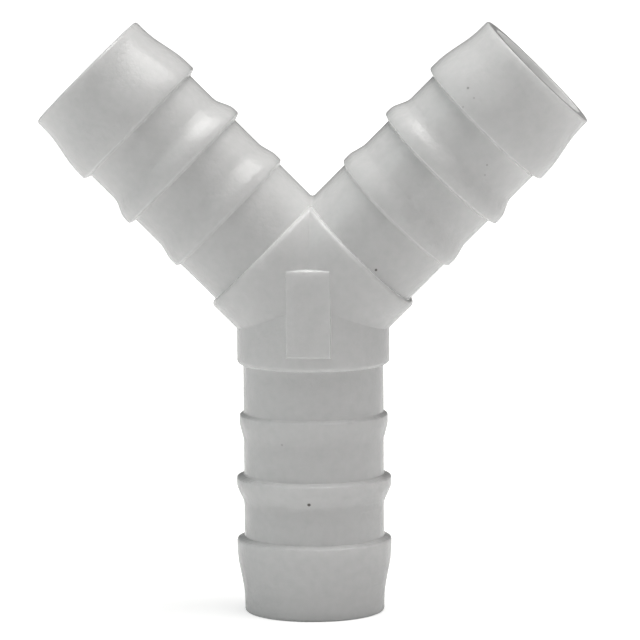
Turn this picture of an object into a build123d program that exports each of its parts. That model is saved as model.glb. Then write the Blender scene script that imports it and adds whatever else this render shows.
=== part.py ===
from build123d import *
import os
from math import cos, radians, sin, tan

# Tubing Y connector: one moulded piece, a hub with three equal barbed hose tails.
# Frame: +Z up, origin at the centre of the stem's mouth, which the connector stands on.
# The branches lean towards -X and +X, and the size pad on the hub faces -Y.

# Driving sizes, mm and degrees

# Tubing and flow passage
tube_bore = 19.0           # bore of the tubing that each tail fits, and the neck's diameter
wall = 1.75                # thickness of the neck's wall round the passage

# Hub
branch_angle = 45.0        # lean of each branch from the vertical
collar_step = 0.83         # height of the collars above the necks
collar_setback = 0.4       # how far each collar stops short of the crotch between the branches
collar_round = 0.6         # rounding of the collars' rims
crotch_round = 0.5         # rounding at the bottom of the crotch

# Hose tails, along each arm from its collar to its mouth
neck_length = 6.95         # from the collar to the first barb
barb_pitch = 8.5           # from one barb's shoulder to the next
crest_land = 1.3           # flat crest of the two short barbs
ramp_length = 2.1          # slope of the two short barbs
end_land = 2.35            # flat crest of the long end barb
end_taper = 4.95           # slope of the long end barb
nose_length = 2.7          # straight lead-in ahead of the end barb
barb_height = 1.0          # height of the outer two barbs above the neck
first_barb_height = 0.55   # height of the low first barb above the neck
shoulder_draft = 0.35      # how far a shoulder leans back over its height
crest_round = 0.3          # rounding of the edge that grips the tube
root_round = 0.15          # rounding where a shoulder meets the neck
ramp_easing = 2.5          # radius that eases a short barb's slope in and out
taper_easing = 14.5        # radius that eases the end barb's slope in and out
mouth_round = 0.35         # rounding of the mouth's outer edge
mouth_break = 0.2          # rounding of the mouth's inner edge

# Size pad, a flat raised panel on the front of the hub
pad_width = 5.95
pad_height = 11.9
pad_drop = 1.15            # how far the pad's middle lies below the crossing of the arms
pad_rise = 0.27            # height of the pad's face above the front of the collars
pad_top_round = 0.9        # rounding of the pad's upper end
pad_edge_round = 0.2       # rounding of its other edges

# Sizes that follow

neck_radius = tube_bore / 2
bore_radius = neck_radius - wall
collar_radius = neck_radius + collar_step
barb_radius = neck_radius + barb_height
first_barb_radius = neck_radius + first_barb_height

crotch_reach = neck_radius / tan(radians(branch_angle))
collar_length = crotch_reach - collar_setback
first_shoulder = collar_length + neck_length
middle_shoulder = first_shoulder + barb_pitch
end_shoulder = middle_shoulder + barb_pitch
arm_reach = end_shoulder + end_land + end_taper + nose_length


def arm_plane(lean):
    """Plane across an arm at the crossing of the three axes, with its normal along the arm."""
    along = (sin(radians(lean)), 0, cos(radians(lean)))
    across = (cos(radians(lean)), 0, -sin(radians(lean)))
    return Plane(origin=(0, 0, arm_reach), x_dir=across, z_dir=along)


def barb(shoulder, crest, land, ramp, easing):
    """One barb's corners, as radius and distance along the arm, with the rounding at each."""
    corners = [
        (neck_radius, shoulder - shoulder_draft),
        (crest, shoulder),
        (crest, shoulder + land),
        (neck_radius, shoulder + land + ramp),
    ]
    roundings = [root_round, crest_round, easing, easing]
    return corners, roundings


arms = [arm_plane(lean) for lean in (-branch_angle, branch_angle, 180)]
barbs = [
    barb(first_shoulder, first_barb_radius, crest_land, ramp_length, ramp_easing),
    barb(middle_shoulder, barb_radius, crest_land, ramp_length, ramp_easing),
    barb(end_shoulder, barb_radius, end_land, end_taper, taper_easing),
]
tail_corners = [(0, 0), (neck_radius, 0)]
tail_roundings = [0]
for corners, roundings in barbs:
    tail_corners += corners
    tail_roundings += roundings
tail_corners += [(neck_radius, arm_reach), (0, arm_reach)]
tail_roundings += [mouth_round]

# The pad's block, from the passage's wall out to the pad's face
with BuildPart() as size_pad:
    with BuildSketch(Plane.XZ.offset(bore_radius)):
        with Locations((0, arm_reach - pad_drop)):
            Rectangle(pad_width, pad_height)
    extrude(amount=collar_radius + pad_rise - bore_radius)
    outline = size_pad.faces().sort_by(Axis.Y)[0].edges().sort_by(Axis.Z)
    fillet(outline[-1], radius=pad_top_round)
    outline = size_pad.faces().sort_by(Axis.Y)[0].edges().sort_by(Axis.Z)
    fillet(outline[:-1], radius=pad_edge_round)

with BuildPart() as y_connector:
    # Hub: three collars of one radius, mitred together and each cut off square
    for arm in arms:
        with BuildSketch(arm):
            Circle(collar_radius)
        extrude(amount=arm_reach)
    for arm in arms:
        split(bisect_by=arm.offset(collar_length), keep=Keep.BOTTOM)
    rims = y_connector.edges().filter_by(GeomType.CIRCLE)
    ridge = y_connector.edges().filter_by(Axis.Y)
    fillet(rims + ridge, radius=collar_round)

    # Hose tails: the barbed outline turned round each arm's axis
    for arm in arms:
        with BuildSketch(Plane(origin=arm.origin, x_dir=arm.x_dir, z_dir=(0, -1, 0))):
            with BuildLine():
                FilletPolyline(*tail_corners, radius=tail_roundings)
                Line(tail_corners[-1], tail_corners[0])
            make_face()
        revolve(axis=Axis(arm.origin, arm.z_dir))

    # Crotch: the crease where the branches' necks part above the hub
    creases = y_connector.edges().filter_by(GeomType.ELLIPSE).filter_by(Plane.YZ)
    fillet(creases.group_by(Axis.Z)[-1], radius=crotch_round)

    add(size_pad)

    # Flow passages, which meet at the crossing of the axes
    for arm in arms:
        with BuildSketch(arm):
            Circle(bore_radius)
        extrude(amount=arm_reach, mode=Mode.SUBTRACT)
    for arm in arms:
        mouth = y_connector.faces().sort_by(Axis(arm.origin, arm.z_dir))[-1]
        fillet(mouth.inner_wires()[0].edges(), radius=mouth_break)

y_connector.part.label = "y_connector"
os.makedirs("parts", exist_ok=True)
export_step(y_connector.part, "parts/y_connector.step")
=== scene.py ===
from math import cos, radians, sin

import bpy
from mathutils import Matrix, Vector


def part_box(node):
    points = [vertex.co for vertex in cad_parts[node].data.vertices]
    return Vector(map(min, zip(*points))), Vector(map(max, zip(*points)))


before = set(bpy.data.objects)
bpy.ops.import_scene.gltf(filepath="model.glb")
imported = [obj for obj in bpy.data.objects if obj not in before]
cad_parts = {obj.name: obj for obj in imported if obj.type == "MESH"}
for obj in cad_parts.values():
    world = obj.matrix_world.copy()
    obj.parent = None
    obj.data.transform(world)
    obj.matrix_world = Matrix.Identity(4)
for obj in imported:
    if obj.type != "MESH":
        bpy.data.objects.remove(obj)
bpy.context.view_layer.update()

lowest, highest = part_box("y_connector")
height = highest.z - lowest.z

# Camera: low and nearly square on, turned a little towards +X and down towards the floor.
# Angles in degrees, distance and aim in metres, lens in millimetres.
camera_yaw = radians(3.695)
camera_elevation = radians(7.286)
camera_roll = radians(-0.360)
camera_distance = 0.615
camera_lens = 255.7
camera_aim = Vector((0.00096, -0.00035, 0.03983))
camera_clip_start = 0.01

# Floor: white to the camera. Its glow dips near the object, so that a faint shadow shows there.
# The glow rises from near to far between the two distances, in metres from the middle.
floor_size = 8.0
floor_white = (0.86, 0.86, 0.86, 1.0)
glow_near, glow_far = 0.57, 1.0
glow_start, glow_end = 0.1, 0.9
mirror_share = 0.3            # share of the glow that reflections and see-through parts get

# Surroundings: plain white to the camera, and only a little light on the object
surround_colour = (1.0, 1.0, 1.0, 1.0)
surround_light = 0.03
surround_seen = 1.0

# Softboxes: name, elevation and bearing in degrees, width in metres, power in watts, colour
softbox_distance = 1.2
warm, neutral, cool = (1.0, 0.988, 0.97), (1.0, 1.0, 1.0), (0.92, 1.0, 0.98)
softboxes = [
    ("overhead", 83, 75, 1.5, 3.4, warm),
    ("overhead_right", 75, 75, 1.0, 6.3, warm),
    ("top", 90, 0, 0.6, 2.6, warm),
    ("top_right", 60, 90, 0.6, 0.6, neutral),
    ("top_left", 60, 270, 0.6, 0.6, neutral),
    ("left", 25, 290, 0.8, 1.6, cool),
    ("back_left", 30, 240, 0.8, 0.6, neutral),
    ("back_right", 30, 120, 0.8, 0.35, neutral),
]

# Plastic: a natural, milky grade. The mottle runs from the clear to the milky tint and from the
# first to the second roughness. Scales are in features per metre, depths in metres.
plastic_milky = (0.997, 1.0, 0.998, 1.0)
plastic_clear = (0.918, 0.937, 0.926, 1.0)
plastic_roughness = (0.07, 0.14)
plastic_ior = 1.50
scatter_share = 1.0
scatter_depth = 0.0024
scatter_spread = (1.0, 1.0, 1.0)    # the same depth in red, green and blue
mottle_scale = 800.0
mottle_detail = 3.0
mottle_range = (0.25, 0.75)         # the stretch of the noise that the tints are spread over
grain_scale = 1500.0
grain_detail = 2.0
grain_depth = 0.00006

# Specks in the plastic: place in metres, radius in metres and how dark each is
speck_colour = (0.06, 0.05, 0.04, 1.0)
speck_fade = 1.8                    # a speck fades out at this many times its radius
specks = [
    ((0.00903, -0.00897, 0.04766), 0.00012, 0.8),
    ((-0.00005, -0.00997, 0.01609), 0.00016, 0.85),
    ((0.02132, -0.00894, 0.07190), 0.00012, 0.4),
    ((0.02213, -0.00970, 0.07063), 0.00010, 0.2),
    ((0.02068, -0.00968, 0.06944), 0.00010, 0.2),
    ((-0.00370, -0.00887, 0.02403), 0.00012, 0.2),
    ((0.02381, -0.00875, 0.06166), 0.00010, 0.25),
    ((0.02353, -0.00839, 0.06029), 0.00010, 0.2),
]


def make_camera():
    """Camera at the distance and turn given above, looking at the aim point."""
    away = Vector((
        sin(camera_yaw) * cos(camera_elevation),
        -cos(camera_yaw) * cos(camera_elevation),
        sin(camera_elevation),
    ))
    level = Vector((cos(camera_yaw), sin(camera_yaw), 0))
    upright = away.cross(level)
    right = level * cos(camera_roll) + upright * sin(camera_roll)
    up = upright * cos(camera_roll) - level * sin(camera_roll)
    camera = bpy.data.objects.new("camera", bpy.data.cameras.new("camera"))
    camera.data.lens = camera_lens
    camera.data.clip_start = camera_clip_start
    turn = Matrix((right, up, away)).transposed().to_4x4()
    camera.matrix_world = Matrix.Translation(camera_aim + away * camera_distance) @ turn
    bpy.context.scene.collection.objects.link(camera)
    bpy.context.scene.camera = camera


def add_light(name, elevation, bearing, width, power, colour):
    """A square softbox that faces the object's middle. Bearing 0 is in front, 90 at +X."""
    light = bpy.data.lights.new(name, "AREA")
    light.size = width
    light.energy = power
    light.color = colour
    item = bpy.data.objects.new(name, light)
    rise, turn = radians(elevation), radians(bearing)
    outward = Vector((sin(turn) * cos(rise), -cos(turn) * cos(rise), sin(rise)))
    item.location = Vector((0, 0, height / 2)) + outward * softbox_distance
    item.rotation_euler = outward.to_track_quat("Z", "Y").to_euler()
    bpy.context.scene.collection.objects.link(item)


def add_node(tree, kind, inputs=None, **settings):
    """A shader node. Each input is linked to a socket or holds a plain value."""
    node = tree.nodes.new("ShaderNode" + kind)
    for name, value in settings.items():
        setattr(node, name, value)
    for socket, value in (inputs or {}).items():
        if isinstance(value, bpy.types.NodeSocket):
            tree.links.new(value, node.inputs[socket])
        else:
            node.inputs[socket].default_value = value
    return node


def combine(tree, operation, first, second):
    """The result of a Math node on two sockets, or on a socket and a number."""
    return add_node(tree, "Math", {0: first, 1: second}, operation=operation).outputs[0]


def empty_tree(owner):
    """The node tree of a material or a world, with nothing in it."""
    owner.use_nodes = True
    owner.node_tree.nodes.clear()
    return owner.node_tree


def make_floor_material():
    """Diffuse, with a glow that the camera sees in full and reflections see in part."""
    material = bpy.data.materials.new("floor")
    tree = empty_tree(material)
    place = add_node(tree, "TexCoord").outputs["Object"]
    away = add_node(tree, "VectorMath", {0: place}, operation="LENGTH").outputs["Value"]
    level = add_node(tree, "MapRange", {
        "Value": away,
        "From Min": glow_start,
        "From Max": glow_end,
        "To Min": glow_near,
        "To Max": glow_far,
    }).outputs[0]
    rays = add_node(tree, "LightPath").outputs
    mirrored = combine(tree, "MAXIMUM", rays["Is Glossy Ray"], rays["Is Transmission Ray"])
    weaker = combine(tree, "MULTIPLY", mirrored, mirror_share)
    seen = combine(tree, "MAXIMUM", rays["Is Camera Ray"], weaker)
    strength = combine(tree, "MULTIPLY", seen, level)
    glow = add_node(tree, "Emission", {"Strength": strength})
    diffuse = add_node(tree, "BsdfDiffuse", {"Color": floor_white})
    both = add_node(tree, "AddShader", {0: diffuse.outputs[0], 1: glow.outputs[0]})
    add_node(tree, "OutputMaterial", {"Surface": both.outputs[0]})
    return material


def make_floor():
    """A pale floor that shows white to the camera and keeps the object's shadow."""
    mesh = bpy.data.meshes.new("floor")
    half = floor_size / 2
    corners = [(-half, -half, 0), (half, -half, 0), (half, half, 0), (-half, half, 0)]
    mesh.from_pydata(corners, [], [(0, 1, 2, 3)])
    mesh.materials.append(make_floor_material())
    floor = bpy.data.objects.new("floor", mesh)
    bpy.context.scene.collection.objects.link(floor)


def make_world():
    """Plain white surroundings, at full strength only where the camera sees them."""
    world = bpy.data.worlds.new("studio")
    tree = empty_tree(world)
    level = add_node(tree, "MapRange", {
        "Value": add_node(tree, "LightPath").outputs["Is Camera Ray"],
        "To Min": surround_light,
        "To Max": surround_seen,
    }).outputs[0]
    sky = add_node(tree, "Background", {"Color": surround_colour, "Strength": level})
    add_node(tree, "OutputWorld", {"Surface": sky.outputs[0]})
    bpy.context.scene.world = world


def speck_mask(tree, place):
    """How dark the specks make each place: the darkest one that reaches it."""
    mask = 0.0
    for centre, radius, darkness in specks:
        away = add_node(tree, "VectorMath", {0: place, 1: centre}, operation="DISTANCE")
        inside = add_node(tree, "MapRange", {
            "Value": away.outputs["Value"],
            "From Min": radius,
            "From Max": radius * speck_fade,
            "To Min": darkness,
            "To Max": 0.0,
        })
        mask = combine(tree, "MAXIMUM", inside.outputs[0], mask)
    return mask


def make_plastic():
    """Milky, slightly see-through moulded plastic with a fine mottle and a few dark specks."""
    material = bpy.data.materials.new("plastic")
    tree = empty_tree(material)
    place = add_node(tree, "TexCoord").outputs["Object"]

    mottle = add_node(tree, "TexNoise", {
        "Vector": place,
        "Scale": mottle_scale,
        "Detail": mottle_detail,
    }).outputs["Fac"]
    cloud = add_node(tree, "MapRange", {
        "Value": mottle,
        "From Min": mottle_range[0],
        "From Max": mottle_range[1],
    }).outputs[0]
    tint = add_node(tree, "Mix", {
        "Factor": cloud,
        "A": plastic_clear,
        "B": plastic_milky,
    }, data_type="RGBA").outputs["Result"]
    gloss = add_node(tree, "MapRange", {
        "Value": mottle,
        "To Min": plastic_roughness[0],
        "To Max": plastic_roughness[1],
    }).outputs[0]
    grain = add_node(tree, "TexNoise", {
        "Vector": place,
        "Scale": grain_scale,
        "Detail": grain_detail,
    }).outputs["Fac"]
    bump = add_node(tree, "Bump", {"Distance": grain_depth, "Height": grain}).outputs[0]

    body = add_node(tree, "BsdfPrincipled", {
        "Base Color": tint,
        "Roughness": gloss,
        "Normal": bump,
        "IOR": plastic_ior,
        "Subsurface Weight": scatter_share,
        "Subsurface Radius": scatter_spread,
        "Subsurface Scale": scatter_depth,
    }, subsurface_method="RANDOM_WALK")
    speck = add_node(tree, "BsdfDiffuse", {"Color": speck_colour})
    mix = add_node(tree, "MixShader", {
        0: speck_mask(tree, place),
        1: body.outputs[0],
        2: speck.outputs[0],
    })
    add_node(tree, "OutputMaterial", {"Surface": mix.outputs[0]})
    return material


bpy.context.scene.view_settings.view_transform = "Standard"
make_camera()
make_floor()
make_world()
for softbox in softboxes:
    add_light(*softbox)

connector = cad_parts["y_connector"]
connector.data.materials.clear()
connector.data.materials.append(make_plastic())
